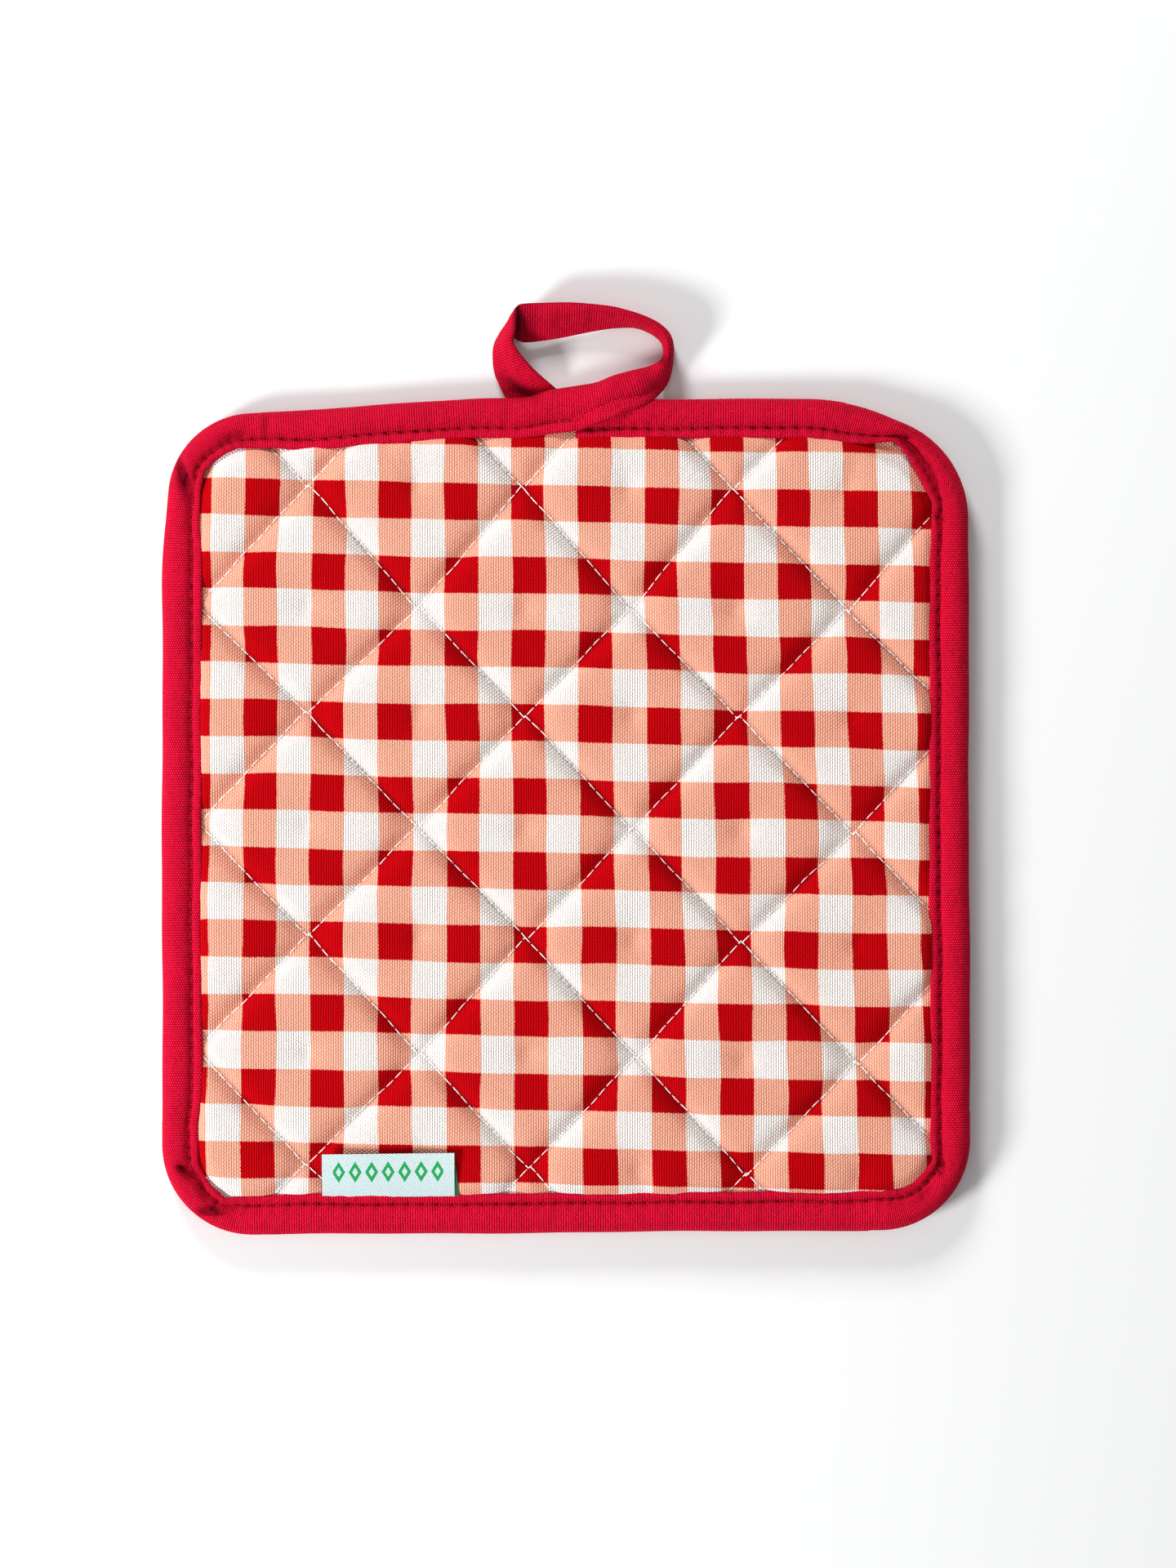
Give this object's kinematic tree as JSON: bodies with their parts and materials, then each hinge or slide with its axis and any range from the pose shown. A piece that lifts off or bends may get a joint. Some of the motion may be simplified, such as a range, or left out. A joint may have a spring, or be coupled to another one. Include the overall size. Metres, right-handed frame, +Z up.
{
  "type": "pot holder",
  "caption": "Square quilted cotton pot holder with a bound edge, a hanging loop and a folded woven label; it folds in half along a row of quilting crossings.",
  "frame": {"origin": "middle of the underside, on the plane the pot holder lies on", "axes": "+X to the right and +Y towards the hanging loop, seen from the front; +Z up through the thickness"},
  "size_m": [0.1967, 0.2275, 0.0107],
  "materials": {
    "printed_canvas": "coarse cotton canvas, printed gingham in red, peach and white",
    "wadding": "soft needled wadding",
    "binding_tape": "crimson ribbed cotton tape",
    "quilting_thread": "off-white cotton thread",
    "binding_thread": "crimson thread",
    "label": "woven satin label, pale with a small green pattern and a dark green reverse"
  },
  "bodies": {
    "upper_half": {"front_cover_upper": "printed_canvas", "wadding_upper": "wadding", "back_cover_upper": "printed_canvas", "binding_upper": "binding_tape", "needle_thread_upper": "quilting_thread", "bobbin_thread_upper": "quilting_thread", "topstitch_front_upper": "binding_thread", "topstitch_back_upper": "binding_thread", "loop_root": "binding_tape", "loop_tail": "binding_tape"},
    "lower_half": {"front_cover_lower": "printed_canvas", "wadding_lower": "wadding", "back_cover_lower": "printed_canvas", "binding_lower": "binding_tape", "needle_thread_lower": "quilting_thread", "bobbin_thread_lower": "quilting_thread", "topstitch_front_lower": "binding_thread", "topstitch_back_lower": "binding_thread"},
    "hanging_loop": {"loop_band": "binding_tape", "loop_seam": "binding_thread"},
    "label": {"woven_label": "label"}
  },
  "joints": [
    {"name": "pad_fold", "type": "hinge", "parent": "upper_half", "child": "lower_half", "pos_m": [0, -0.0032, 0.0093], "axis": [-1, 0, 0], "range_deg": [0, 160], "stiffness_Nm_per_rad": 0.008},
    {"name": "loop_swing", "type": "hinge", "parent": "upper_half", "child": "hanging_loop", "pos_m": [0.0036, 0.1033, 0.0045], "axis": [1, 0, 0], "range_deg": [-90, 90], "stiffness_Nm_per_rad": 0.002},
    {"name": "label_flap", "type": "hinge", "parent": "lower_half", "child": "label", "pos_m": [-0.04285, -0.0909, 0.0085], "axis": [1, 0, 0], "range_deg": [0, 120], "stiffness_Nm_per_rad": 0.0001}
  ]
}
